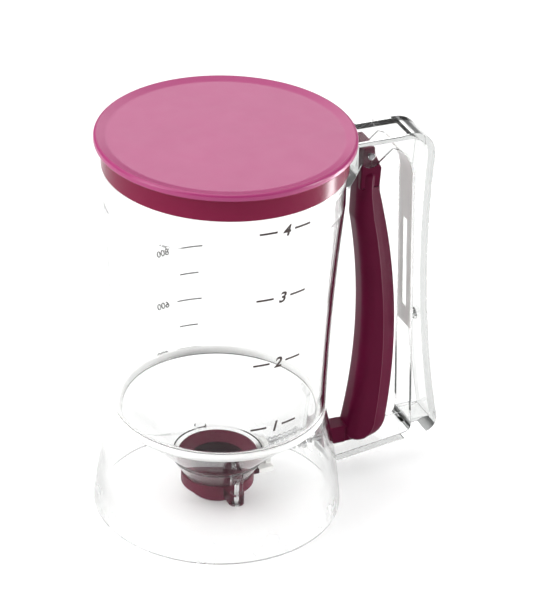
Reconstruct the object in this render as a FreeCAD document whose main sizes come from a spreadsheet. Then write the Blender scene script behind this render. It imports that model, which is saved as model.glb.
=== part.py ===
import FreeCAD, Part
import math
import os

import Sketcher

# Pancake batter dispenser: a clear jug with a push-on lid, a channel handle and a squeeze
# trigger that draws a sliding gate open under the funnel. Millimetres and degrees.
# The origin is on the jug's axis at table level, the handle points to +X and +Z is up.

DIMENSIONS = {
    "total_height": 180.0,
    "lid_radius": 55.0,
    "lid_edge_thickness": 3.4,
    "lid_dish_depth": 1.0,
    "lid_rim_width": 1.6,
    "lid_top_thickness": 2.2,
    "lid_band_radius": 51.9,
    "lid_band_bottom": 166.1,
    "lid_band_wall": 2.2,
    "lid_plug_wall": 1.8,
    "lid_plug_depth": 7.0,
    "lid_clearance": 0.3,
    "wall": 2.2,
    "shoulder_radius": 51.0,
    "shoulder_start": 150.0,
    "neck_recess": 1.5,
    "side_bow": 1600.0,
    "waist_radius": 46.5,
    "waist_height": 48.0,
    "skirt_radius": 54.5,
    "skirt_bow": 340.0,
    "foot_chamfer": 0.6,
    "seat_radius": 18.0,
    "seat_bottom_radius": 13.0,
    "seat_top": 24.0,
    "seat_bottom": 15.0,
    "seat_mouth_radius": 16.6,
    "seat_throat_radius": 10.8,
    "seat_throat_height": 20.2,
    "seat_clearance": 0.15,
    "outlet_radius": 4.2,
    "gate_thickness": 2.2,
    "gate_half_width": 7.0,
    "gate_overlap": 0.45,
    "gate_clearance": 0.3,
    "gate_lug_thickness": 2.6,
    "gate_lug_half_width": 3.6,
    "gate_lug_rise": 3.4,
    "guide_radius": 16.0,
    "guide_floor": 2.4,
    "guide_ear_radius": 3.4,
    "screw_spacing": 21.5,
    "screw_shank_radius": 0.95,
    "screw_head_radius": 1.9,
    "screw_head_height": 1.2,
    "screw_bite": 5.0,
    "screw_clearance": 0.1,
    "post_radius": 2.8,
    "nozzle_radius": 12.0,
    "nozzle_height": 5.0,
    "nozzle_mouth_radius": 9.4,
    "rod_height": 20.5,
    "rod_radius": 1.25,
    "rod_fit": 0.08,
    "rod_head_radius": 2.5,
    "rod_head_thickness": 1.8,
    "rod_grip_length": 2.0,
    "spring_radius": 2.6,
    "spring_wire_radius": 0.4,
    "spring_turns": 5.0,
    "spring_seat_gap": 0.3,
    "washer_radius": 3.6,
    "washer_thickness": 0.8,
    "bracket_position": 41.4,
    "bracket_thickness": 2.2,
    "bracket_half_width": 4.6,
    "bracket_drop": 4.6,
    "pivot_reach": 63.5,
    "pivot_height": 161.6,
    "pin_radius": 1.5,
    "pin_fit": 0.06,
    "handle_width": 17.4,
    "handle_wall": 2.2,
    "handle_web": 3.0,
    "handle_gap": 0.1,
    "handle_top": 169.8,
    "handle_roof": 3.4,
    "handle_corner": 12.0,
    "grip_top_reach": 93.6,
    "grip_bow": 531.0,
    "heel_reach": 102.4,
    "heel_height": 24.0,
    "heel_corner": 6.5,
    "arm_root_low": 9.3,
    "arm_rise": 7.4,
    "arm_thickness": 3.5,
    "grip_inner_low_reach": 89.6,
    "grip_inner_low_height": 22.0,
    "grip_inner_top_reach": 84.4,
    "grip_inner_top_height": 144.5,
    "crook_radius": 19.5,
    "crook_reach": 76.5,
    "crook_height": 162.3,
    "arm_underside": 163.6,
    "ear_radius": 5.2,
    "root_depth": 56.5,
    "root_low": 148.0,
    "liner_thickness": 1.4,
    "liner_inset": 0.6,
    "liner_side_gap": 0.15,
    "liner_end": 71.0,
    "liner_slot_width": 4.0,
    "liner_slot_low": 80.0,
    "liner_slot_high": 124.0,
    "liner_screw_height": 75.5,
    "liner_screw_sink": 0.8,
    "liner_boss_radius": 2.6,
    "trigger_width": 14.0,
    "trigger_head_width": 12.4,
    "trigger_head_top": 165.4,
    "trigger_neck_height": 152.6,
    "trigger_inner_reach": 59.6,
    "trigger_inner_start": 130.0,
    "trigger_inner_bow": 270.0,
    "trigger_toe_height": 22.0,
    "trigger_outer_high_reach": 70.2,
    "trigger_outer_high": 142.0,
    "trigger_outer_low_reach": 79.3,
    "trigger_outer_low": 27.0,
    "trigger_outer_bow": 290.0,
    "trigger_sole": 17.2,
    "trigger_sole_reach": 71.8,
    "trigger_heel_radius": 8.0,
    "trigger_fillet": 3.6,
    "trigger_wall": 3.8,
    "trigger_rib": 2.2,
    "trigger_bay_height": 17.0,
    "trigger_bay_start": 36.0,
    "trigger_bays": 5.0,
    "tongue_reach": 49.6,
    "tongue_half_width": 4.2,
    "tongue_drop": 3.5,
    "head_play": 1.1,
    "tongue_wall": 1.3,
    "tongue_end_wall": 2.2,
    "tongue_clearance": 1.2,
    "head_gap": 0.3,
}


class Size:
    """A length kept as a number together with the sheet formula that gives it."""

    def __init__(self, value, formula):
        self.value = value
        self.formula = formula

    def __add__(self, other):
        return Size(self.value + number(other), f"({self.formula} + {wording(other)})")

    def __radd__(self, other):
        return Size(number(other) + self.value, f"({wording(other)} + {self.formula})")

    def __sub__(self, other):
        return Size(self.value - number(other), f"({self.formula} - {wording(other)})")

    def __rsub__(self, other):
        return Size(number(other) - self.value, f"({wording(other)} - {self.formula})")

    def __mul__(self, other):
        return Size(self.value * number(other), f"({self.formula} * {wording(other)})")

    __rmul__ = __mul__

    def __truediv__(self, other):
        return Size(self.value / number(other), f"({self.formula} / {wording(other)})")

    def __neg__(self):
        return Size(-self.value, f"(-1 * {self.formula})")


def number(item):
    """The plain number of a Size or of a number."""
    return item.value if isinstance(item, Size) else float(item)


def wording(item):
    """The formula text of a Size or of a number."""
    return item.formula if isinstance(item, Size) else repr(float(item))


def root(item):
    """Square root of a Size."""
    return Size(math.sqrt(item.value), f"sqrt({item.formula})")


def make_sheet(document):
    """Fill the spreadsheet with the driving dimensions and return them as Sizes."""
    sheet = document.addObject("Spreadsheet::Sheet", "Sizes")
    sizes = {}
    for row, (name, value) in enumerate(DIMENSIONS.items(), start=1):
        sheet.set(f"A{row}", name)
        sheet.set(f"B{row}", str(value))
        sheet.setAlias(f"B{row}", name)
        sizes[name] = Size(value, f"Sizes.{name}")
    document.recompute()
    return sizes


document = FreeCAD.newDocument("BatterDispenser")
S = make_sheet(document)
ZERO = Size(0.0, "0.0")


def bind(item, field, size):
    """Drive one property of an object from the sheet."""
    item.setExpression(field, wording(size))


def make_body(name):
    """A named sub-part made of part design features."""
    body = document.addObject("PartDesign::Body", name)
    body.Label = name
    return body


def origin_plane(body, role):
    """The body's own origin plane with the given role."""
    for feature in body.Origin.OriginFeatures:
        if feature.Role == role:
            return feature
    raise ValueError(role)


def make_sketch(body, name, role, offset=None):
    """An empty sketch on an origin plane, moved along the plane's normal by a Size."""
    sketch = body.newObject("Sketcher::SketchObject", name)
    sketch.AttachmentSupport = [(origin_plane(body, role), "")]
    sketch.MapMode = "FlatFace"
    if offset is not None:
        bind(sketch, "AttachmentOffset.Base.z", offset)
    return sketch


def arc_geometry(start, end, radius):
    """Counterclockwise arc between two points and whether it had to run from end to start.

    A positive radius turns left on the way from start to end, a negative one turns right.
    """
    flipped = radius < 0.0
    if flipped:
        start, end = end, start
    size = abs(radius)
    half = (end - start) * 0.5
    reach = math.sqrt(max(size * size - half.Length ** 2, 0.0))
    left = FreeCAD.Vector(-half.y, half.x, 0.0).normalize()
    centre = start + half + left * reach
    begin = math.atan2(start.y - centre.y, start.x - centre.x)
    finish = math.atan2(end.y - centre.y, end.x - centre.x)
    circle = Part.Circle(centre, FreeCAD.Vector(0.0, 0.0, 1.0), size)
    return Part.ArcOfCircle(circle, begin, finish), flipped


def pin_down(sketch, geometry, point, across, up):
    """Hold one sketch point at two Sizes measured from the origin."""
    for kind, axis, size in (("DistanceX", -2, across), ("DistanceY", -1, up)):
        if abs(size.value) < 1e-9:
            sketch.addConstraint(Sketcher.Constraint("PointOnObject", geometry, point, axis))
            continue
        ends = (-1, 1, geometry, point) if size.value > 0.0 else (geometry, point, -1, 1)
        held = size if size.value > 0.0 else -size
        index = sketch.addConstraint(Sketcher.Constraint(kind, *ends, held.value))
        sketch.setExpression(f"Constraints[{index}]", held.formula)


def draw_outline(sketch, points, bows=None):
    """Closed outline through points (across, up); bows gives an arc's radius per side."""
    bows = bows or {}
    corners = [FreeCAD.Vector(across.value, up.value, 0.0) for across, up in points]
    ends = []
    for side, corner in enumerate(corners):
        following = corners[(side + 1) % len(corners)]
        if side in bows:
            shape, flipped = arc_geometry(corner, following, bows[side].value)
        else:
            shape, flipped = Part.LineSegment(corner, following), False
        index = sketch.addGeometry(shape, False)
        ends.append((index, 2, 1) if flipped else (index, 1, 2))
    for side, (index, _, last) in enumerate(ends):
        following, first, _ = ends[(side + 1) % len(ends)]
        sketch.addConstraint(Sketcher.Constraint("Coincident", index, last, following, first))
    for (index, first, _), (across, up) in zip(ends, points):
        pin_down(sketch, index, first, across, up)
    for side, radius in bows.items():
        held = radius if radius.value > 0.0 else -radius
        place = sketch.addConstraint(Sketcher.Constraint("Radius", ends[side][0], held.value))
        sketch.setExpression(f"Constraints[{place}]", held.formula)


def draw_circle(sketch, across, up, radius):
    """A circle whose centre and radius are Sizes."""
    centre = FreeCAD.Vector(across.value, up.value, 0.0)
    circle = Part.Circle(centre, FreeCAD.Vector(0.0, 0.0, 1.0), radius.value)
    index = sketch.addGeometry(circle, False)
    pin_down(sketch, index, 3, across, up)
    place = sketch.addConstraint(Sketcher.Constraint("Radius", index, radius.value))
    sketch.setExpression(f"Constraints[{place}]", radius.formula)


def rectangle(low_x, low_y, high_x, high_y):
    """Corner points of an upright rectangle."""
    return [(low_x, low_y), (high_x, low_y), (high_x, high_y), (low_x, high_y)]


def revolve(body, name, points, bows=None, cut=False):
    """Turn an outline of (radius, height) round the vertical axis, adding or cutting."""
    sketch = make_sketch(body, name + "_outline", "XZ_Plane")
    draw_outline(sketch, points, bows)
    kind = "PartDesign::Groove" if cut else "PartDesign::Revolution"
    feature = body.newObject(kind, name)
    feature.Profile = sketch
    feature.ReferenceAxis = (sketch, ["V_Axis"])
    feature.Angle = 360.0
    document.recompute()
    return feature


def prism(body, name, role, points, depth, bows=None, cut=False, offset=None, both=True,
          back=False):
    """Pad or pocket an outline, by default to both sides of its plane."""
    sketch = make_sketch(body, name + "_outline", role, offset)
    draw_outline(sketch, points, bows)
    return extrude(body, name, sketch, depth, cut, both, back)


def drill(body, name, role, circles, depth, cut=True, offset=None, both=True, back=False):
    """Cut or add round bars given as (across, up, radius)."""
    sketch = make_sketch(body, name + "_circles", role, offset)
    for across, up, radius in circles:
        draw_circle(sketch, across, up, radius)
    return extrude(body, name, sketch, depth, cut, both, back)


def extrude(body, name, sketch, depth, cut, both, back):
    """Finish a pad or pocket and make sure that it changed the solid."""
    before = body.Shape.Volume if body.Tip else 0.0
    feature = body.newObject("PartDesign::Pocket" if cut else "PartDesign::Pad", name)
    feature.Profile = sketch
    feature.Type = "Length"
    bind(feature, "Length", depth)
    feature.SideType = "Symmetric" if both else "One side"
    feature.Reversed = back
    document.recompute()
    if abs(body.Shape.Volume - before) < 1e-3:
        raise ValueError(f"{name} changed nothing")
    return feature


# Heights and radii that several sub-parts share
NECK_RADIUS = S["shoulder_radius"] - S["neck_recess"]
INNER_WAIST = S["waist_radius"] - S["wall"]
GATE_TOP = S["seat_bottom"] - S["gate_clearance"]
GATE_BOTTOM = GATE_TOP - S["gate_thickness"]
GUIDE_TOP = S["seat_bottom"]
GUIDE_STEP = GATE_BOTTOM - S["gate_clearance"]
GUIDE_BOTTOM = GUIDE_STEP - S["guide_floor"]
NOZZLE_BOTTOM = GUIDE_BOTTOM - S["nozzle_height"]
POST_TOP = S["seat_top"] + 0.4
RIM_TOP = S["total_height"] - S["lid_edge_thickness"] - S["lid_clearance"]
NECK_BOTTOM_RADIUS = S["seat_bottom_radius"] + S["seat_clearance"] + S["wall"]
NECK_TOP_RADIUS = S["seat_radius"] + S["seat_clearance"] + S["wall"]
LUG_INNER = S["seat_radius"] + S["seat_clearance"] + S["wall"] + 1.0
LUG_OUTER = LUG_INNER + S["gate_lug_thickness"]
BRACKET_OUTER = S["bracket_position"] + S["bracket_thickness"]
TONGUE_LOW = S["rod_height"] - S["tongue_drop"]
POCKET_TOP = S["rod_height"] + S["rod_head_radius"] + S["head_play"]
TONGUE_HIGH = POCKET_TOP + S["tongue_wall"]
HEAD_START = S["tongue_reach"] + S["tongue_end_wall"] + S["head_gap"]
HEAD_END = HEAD_START + S["rod_head_thickness"]
CHANNEL_HALF = S["handle_width"] / 2.0 - S["handle_wall"]


def make_lid():
    """Push-on lid: dished top, overhanging edge, outer band and inner plug ring."""
    body = make_body("lid")
    under = S["total_height"] - S["lid_edge_thickness"]
    dish = S["total_height"] - S["lid_dish_depth"]
    rim = S["lid_radius"] - S["lid_rim_width"]
    band_inner = S["lid_band_radius"] - S["lid_band_wall"]
    plug_outer = NECK_RADIUS - S["wall"] - S["lid_clearance"]
    plug_inner = plug_outer - S["lid_plug_wall"]
    plug_bottom = under - S["lid_plug_depth"]
    ceiling = dish - S["lid_top_thickness"]
    revolve(body, "cap", [
        (ZERO, dish), (ZERO, ceiling), (plug_inner, ceiling), (plug_inner, plug_bottom),
        (plug_outer, plug_bottom), (plug_outer, under), (band_inner, under),
        (band_inner, S["lid_band_bottom"]), (S["lid_band_radius"], S["lid_band_bottom"]),
        (S["lid_band_radius"], under), (S["lid_radius"], under),
        (S["lid_radius"], S["total_height"]), (rim, S["total_height"]),
        (rim - S["lid_rim_width"], dish),
    ])
    round_edges(body, "edge_round", lambda edge: is_ring(edge, S["lid_radius"].value),
                S["lid_edge_thickness"] * 0.3)


def is_ring(edge, radius):
    """Whether an edge is a full circle of the given radius."""
    return isinstance(edge.Curve, Part.Circle) and abs(edge.Curve.Radius - radius) < 1e-6


def round_edges(body, name, test, radius):
    """Fillet the edges of a body's last feature that pass a test."""
    last = body.Tip
    names = [f"Edge{index}" for index, edge in enumerate(last.Shape.Edges, start=1)
             if test(edge)]
    rounded = body.newObject("PartDesign::Fillet", name)
    rounded.Base = (last, names)
    bind(rounded, "Radius", radius)
    document.recompute()


def funnel_height(radius):
    """Height of the funnel's underside at a radius."""
    rise = (S["waist_height"] - S["seat_top"]) / (INNER_WAIST - NECK_TOP_RADIUS)
    return S["seat_top"] + (radius - NECK_TOP_RADIUS) * rise


def make_container():
    """Clear measuring jug with its funnel floor, valve neck, screw posts and rod bracket."""
    body = make_body("container")
    shoulder = S["lid_band_bottom"] - S["lid_clearance"]
    inner_neck = NECK_RADIUS - S["wall"]
    inner_shoulder = S["shoulder_radius"] - S["wall"]
    taper = S["neck_recess"] * 2.0
    floor = S["wall"] * 1.4
    neck_inner_low = S["seat_bottom_radius"] + S["seat_clearance"]
    neck_inner_high = S["seat_radius"] + S["seat_clearance"]
    revolve(body, "jug", [
        (NECK_RADIUS, RIM_TOP), (inner_neck, RIM_TOP), (inner_neck, shoulder - taper * 0.5),
        (inner_shoulder, shoulder - taper * 1.5), (inner_shoulder, S["shoulder_start"]),
        (INNER_WAIST, S["waist_height"] + floor), (neck_inner_high, S["seat_top"]),
        (neck_inner_low, S["seat_bottom"]), (NECK_BOTTOM_RADIUS, S["seat_bottom"]),
        (NECK_TOP_RADIUS, S["seat_top"] - 1.0), (NECK_TOP_RADIUS, S["seat_top"]),
        (INNER_WAIST, S["waist_height"]), (S["waist_radius"], S["waist_height"]),
        (S["shoulder_radius"], S["shoulder_start"]), (S["shoulder_radius"], shoulder),
        (NECK_RADIUS, shoulder),
    ], {4: S["side_bow"], 12: -S["side_bow"]})
    drill(body, "screw_posts", "XY_Plane",
          [(ZERO, S["screw_spacing"], S["post_radius"]),
           (ZERO, -S["screw_spacing"], S["post_radius"])],
          POST_TOP - GUIDE_TOP, cut=False, offset=GUIDE_TOP, both=False)
    drill(body, "screw_pilots", "XY_Plane",
          [(ZERO, S["screw_spacing"], S["screw_shank_radius"] + S["screw_clearance"]),
           (ZERO, -S["screw_spacing"], S["screw_shank_radius"] + S["screw_clearance"])],
          S["screw_bite"] + 1.0, offset=GUIDE_TOP, both=False, back=True)
    bracket_low = S["rod_height"] - S["bracket_drop"]
    prism(body, "rod_bracket", "XZ_Plane", [
        (S["bracket_position"], bracket_low), (BRACKET_OUTER, bracket_low),
        (BRACKET_OUTER, funnel_height(BRACKET_OUTER) + S["wall"] * 0.6),
        (S["bracket_position"], funnel_height(S["bracket_position"]) + S["wall"] * 0.6),
    ], S["bracket_half_width"] * 2.0)
    drill(body, "bracket_bore", "YZ_Plane",
          [(ZERO, S["rod_height"], S["rod_radius"] + S["rod_fit"])],
          BRACKET_OUTER * 2.2 - S["bracket_position"] * 2.0, offset=S["bracket_position"])


def make_skirt():
    """Clear flared foot that carries the jug, with the trigger tongue's slot."""
    body = make_body("base_skirt")
    lip = S["foot_chamfer"]
    revolve(body, "flare", [
        (S["waist_radius"], S["waist_height"]), (INNER_WAIST, S["waist_height"]),
        (S["skirt_radius"] - S["wall"], ZERO), (S["skirt_radius"] - lip, ZERO),
        (S["skirt_radius"], lip),
    ], {1: -(S["skirt_bow"] - S["wall"]), 4: S["skirt_bow"]})
    prism(body, "tongue_slot", "YZ_Plane", rectangle(
        -S["tongue_half_width"] - S["tongue_clearance"], TONGUE_LOW - S["tongue_clearance"],
        S["tongue_half_width"] + S["tongue_clearance"], TONGUE_HIGH + S["tongue_clearance"],
    ), S["skirt_radius"], cut=True, offset=S["skirt_radius"] - S["wall"] * 4.0, both=False,
        back=True)


def make_seat():
    """Soft funnel ring that seals between the jug's neck and the gate."""
    body = make_body("valve_seat")
    revolve(body, "ring", [
        (S["seat_radius"], S["seat_top"]), (S["seat_mouth_radius"], S["seat_top"]),
        (S["seat_throat_radius"], S["seat_throat_height"]),
        (S["outlet_radius"], S["seat_bottom"]), (S["seat_bottom_radius"], S["seat_bottom"]),
    ])


def make_gate():
    """Sliding gate with an upturned lug that holds the pull rod."""
    body = make_body("gate")
    tip = -S["outlet_radius"] - S["gate_overlap"]
    prism(body, "plate", "XY_Plane",
          rectangle(tip, -S["gate_half_width"], LUG_OUTER, S["gate_half_width"]),
          S["gate_thickness"], offset=GATE_BOTTOM, both=False)
    prism(body, "lug", "XZ_Plane",
          rectangle(LUG_INNER, GATE_BOTTOM, LUG_OUTER, S["rod_height"] + S["gate_lug_rise"]),
          S["gate_lug_half_width"] * 2.0)
    drill(body, "rod_socket", "YZ_Plane",
          [(ZERO, S["rod_height"], S["rod_radius"] + S["rod_fit"])],
          S["rod_grip_length"] * 2.0, offset=LUG_OUTER)


def make_guide():
    """Clear slide housing under the neck: a floor, two side cheeks and two screw ears."""
    body = make_body("gate_guide")
    drill(body, "disc", "XY_Plane", [(ZERO, ZERO, S["guide_radius"])],
          GUIDE_TOP - GUIDE_BOTTOM, cut=False, offset=GUIDE_BOTTOM, both=False)
    ear = S["guide_ear_radius"]
    prism(body, "bridge", "XY_Plane",
          rectangle(-ear, -S["screw_spacing"], ear, S["screw_spacing"]),
          GUIDE_TOP - GUIDE_BOTTOM, offset=GUIDE_BOTTOM, both=False)
    drill(body, "ears", "XY_Plane",
          [(ZERO, S["screw_spacing"], ear), (ZERO, -S["screw_spacing"], ear)],
          GUIDE_TOP - GUIDE_BOTTOM, cut=False, offset=GUIDE_BOTTOM, both=False)
    drill(body, "screw_holes", "XY_Plane",
          [(ZERO, S["screw_spacing"], S["screw_shank_radius"] + S["screw_clearance"]),
           (ZERO, -S["screw_spacing"], S["screw_shank_radius"] + S["screw_clearance"])],
          GUIDE_TOP * 4.0)
    run = S["gate_half_width"] + S["gate_clearance"]
    back_stop = S["outlet_radius"] + S["gate_overlap"] + S["gate_clearance"]
    prism(body, "gate_run", "XY_Plane",
          rectangle(-back_stop, -run, S["guide_radius"] * 2.0, run),
          (GUIDE_TOP - GUIDE_STEP) * 2.0, cut=True, offset=GUIDE_TOP)
    drill(body, "outlet", "XY_Plane", [(ZERO, ZERO, S["outlet_radius"] + 0.5)],
          GUIDE_TOP * 4.0)


def make_nozzle():
    """Drip collar below the slide housing."""
    body = make_body("nozzle")
    revolve(body, "collar", [
        (S["nozzle_radius"], GUIDE_BOTTOM), (S["outlet_radius"] + 0.5, GUIDE_BOTTOM),
        (S["nozzle_mouth_radius"], NOZZLE_BOTTOM), (S["nozzle_radius"] - 1.0, NOZZLE_BOTTOM),
        (S["nozzle_radius"], NOZZLE_BOTTOM + 1.0),
    ])


def make_guide_screws():
    """Two small pan-head screws that hold the slide housing under the neck."""
    body = make_body("guide_screws")
    spots = (S["screw_spacing"], -S["screw_spacing"])
    drill(body, "heads", "XY_Plane",
          [(ZERO, spot, S["screw_head_radius"]) for spot in spots], S["screw_head_height"],
          cut=False, offset=GUIDE_BOTTOM - S["screw_head_height"], both=False)
    body.AllowCompound = True
    drill(body, "shanks", "XY_Plane",
          [(ZERO, spot, S["screw_shank_radius"]) for spot in spots],
          GUIDE_TOP - GUIDE_BOTTOM + S["screw_bite"], cut=False, offset=GUIDE_BOTTOM,
          both=False)


def ear_point(turn):
    """Point of the pivot ear's round edge at an angle in degrees."""
    across = S["pivot_reach"] + S["ear_radius"] * math.cos(math.radians(turn))
    return across, S["pivot_height"] + S["ear_radius"] * math.sin(math.radians(turn))


def make_handle():
    """Clear channel handle: roof and web outside, two side walls inside, solid lower arm."""
    body = make_body("handle")
    buried = S["waist_radius"] - 2.0
    arm_start_low = S["arm_root_low"]
    arm_end_low = S["arm_root_low"] + S["arm_rise"]
    arm_end_reach = S["heel_reach"] - S["heel_corner"] * 0.75
    inner_end_reach = S["grip_inner_low_reach"] - 3.0
    arm_slope = S["arm_rise"] / (arm_end_reach - buried)
    top_end_reach = S["grip_top_reach"] - S["handle_corner"]
    prism(body, "side_outline", "XZ_Plane", [
        (buried, S["handle_top"]), (buried, S["root_low"]),
        (S["root_depth"] - 3.0, S["root_low"]), (S["root_depth"], S["root_low"] + 5.0),
        ear_point(215.0), ear_point(-35.0),
        (S["crook_reach"] - 3.0, S["arm_underside"]),
        (S["crook_reach"], S["crook_height"]),
        (S["grip_inner_top_reach"], S["grip_inner_top_height"]),
        (S["grip_inner_low_reach"], S["grip_inner_low_height"]),
        (inner_end_reach,
         arm_start_low + S["arm_thickness"] + (inner_end_reach - buried) * arm_slope),
        (buried, arm_start_low + S["arm_thickness"]), (buried, arm_start_low),
        (arm_end_reach, arm_end_low), (S["heel_reach"], S["heel_height"]),
        (S["grip_top_reach"], S["handle_top"] - S["handle_corner"]),
        (top_end_reach, S["handle_top"]),
    ], S["handle_width"], {
        4: S["ear_radius"], 7: -S["crook_radius"], 9: -Size(3.4, "3.4"),
        13: S["heel_corner"], 14: -S["grip_bow"], 15: S["handle_corner"],
    })
    web = S["handle_web"]
    cavity_top = S["handle_top"] - S["handle_roof"]
    cavity_corner = S["handle_corner"] - S["handle_roof"]
    cavity_low = S["grip_inner_low_height"] + 2.0
    outside = S["root_depth"] + 1.4
    mouth = S["grip_inner_top_reach"] - 12.0
    prism(body, "channel", "XZ_Plane", [
        (outside, cavity_top), (outside, S["root_low"] - 2.0),
        (mouth, S["root_low"] - 2.0), (mouth, cavity_low),
        (S["heel_reach"] - web, cavity_low),
        (S["grip_top_reach"] - web, S["handle_top"] - S["handle_corner"]),
        (top_end_reach, cavity_top),
    ], CHANNEL_HALF * 2.0, {4: -(S["grip_bow"] + web), 5: cavity_corner}, cut=True)
    drill(body, "pin_bore", "XZ_Plane",
          [(S["pivot_reach"], S["pivot_height"], S["pin_radius"] + S["pin_fit"] * 0.5)],
          S["handle_width"] * 2.0)
    back_of_liner = liner_face() + S["liner_thickness"] + S["liner_side_gap"] * 2.0
    boss_length = S["handle_web"] * 1.5
    drill(body, "liner_boss", "YZ_Plane",
          [(ZERO, S["liner_screw_height"], S["liner_boss_radius"])],
          boss_length, cut=False, offset=back_of_liner, both=False)
    drill(body, "liner_pilot", "YZ_Plane",
          [(ZERO, S["liner_screw_height"], S["screw_shank_radius"] + S["screw_clearance"])],
          boss_length * 1.6, offset=back_of_liner)
    gap = S["handle_gap"]
    above = S["lid_band_bottom"] - S["lid_clearance"]
    revolve(body, "jug_clearance", [
        (ZERO, S["total_height"]), (ZERO, -gap), (S["skirt_radius"] + gap, -gap),
        (S["skirt_radius"] + gap, S["foot_chamfer"]),
        (S["waist_radius"] + gap, S["waist_height"]),
        (S["shoulder_radius"] + gap, S["shoulder_start"]),
        (S["shoulder_radius"] + gap, above),
        (S["lid_band_radius"] + S["lid_clearance"], above),
        (S["lid_band_radius"] + S["lid_clearance"], S["total_height"]),
    ], {3: S["skirt_bow"] + gap, 4: -(S["side_bow"] - gap)}, cut=True)


def inner_edge_reach(height):
    """Reach of the grip's straight inner edge at a height."""
    slope = (S["grip_inner_low_reach"] - S["grip_inner_top_reach"]) / (
        S["grip_inner_top_height"] - S["grip_inner_low_height"])
    return S["grip_inner_top_reach"] + (S["grip_inner_top_height"] - height) * slope


def liner_face():
    """Reach of the liner's inner face at its screw."""
    return inner_edge_reach(S["liner_screw_height"]) + S["liner_inset"]


def make_liner():
    """Slotted grey strip that closes the grip's channel flush with its inner edge."""
    body = make_body("grip_liner")
    top = S["grip_inner_top_height"] + 4.0
    low = S["liner_end"]
    inset = S["liner_inset"]
    outer = inset + S["liner_thickness"]
    prism(body, "strip", "XZ_Plane", [
        (inner_edge_reach(low) + inset, low), (inner_edge_reach(low) + outer, low),
        (inner_edge_reach(top) + outer, top), (inner_edge_reach(top) + inset, top),
    ], (CHANNEL_HALF - S["liner_side_gap"]) * 2.0)
    prism(body, "slot", "YZ_Plane", rectangle(
        -S["liner_slot_width"] / 2.0, S["liner_slot_low"],
        S["liner_slot_width"] / 2.0, S["liner_slot_high"]),
        S["heel_reach"] * 2.0, cut=True)
    drill(body, "screw_hole", "YZ_Plane",
          [(ZERO, S["liner_screw_height"], S["screw_shank_radius"] + S["screw_clearance"])],
          S["heel_reach"] * 2.0)
    drill(body, "screw_sink", "YZ_Plane",
          [(ZERO, S["liner_screw_height"], S["screw_head_radius"] + S["screw_clearance"])],
          S["liner_screw_sink"] * 2.0, offset=liner_face())


def make_liner_screw():
    """Small flush screw at the foot of the grip liner, biting into the grip's boss."""
    body = make_body("liner_screw")
    lean = S["screw_clearance"]
    drill(body, "head", "YZ_Plane",
          [(ZERO, S["liner_screw_height"], S["screw_head_radius"])],
          S["liner_screw_sink"] - lean, cut=False, offset=liner_face(), both=False)
    drill(body, "shank", "YZ_Plane",
          [(ZERO, S["liner_screw_height"], S["screw_shank_radius"])],
          S["liner_thickness"] + S["handle_web"], cut=False, offset=liner_face(),
          both=False)


def trigger_inner(height):
    """Reach of the trigger's finger side at a height on its bowed stretch."""
    middle = (S["trigger_inner_start"] + S["trigger_toe_height"]) / 2.0
    half = S["trigger_inner_start"] - middle
    bow = S["trigger_inner_bow"]
    level = height - middle
    return S["trigger_inner_reach"] + root(bow * bow - level * level) - root(
        bow * bow - half * half)


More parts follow.
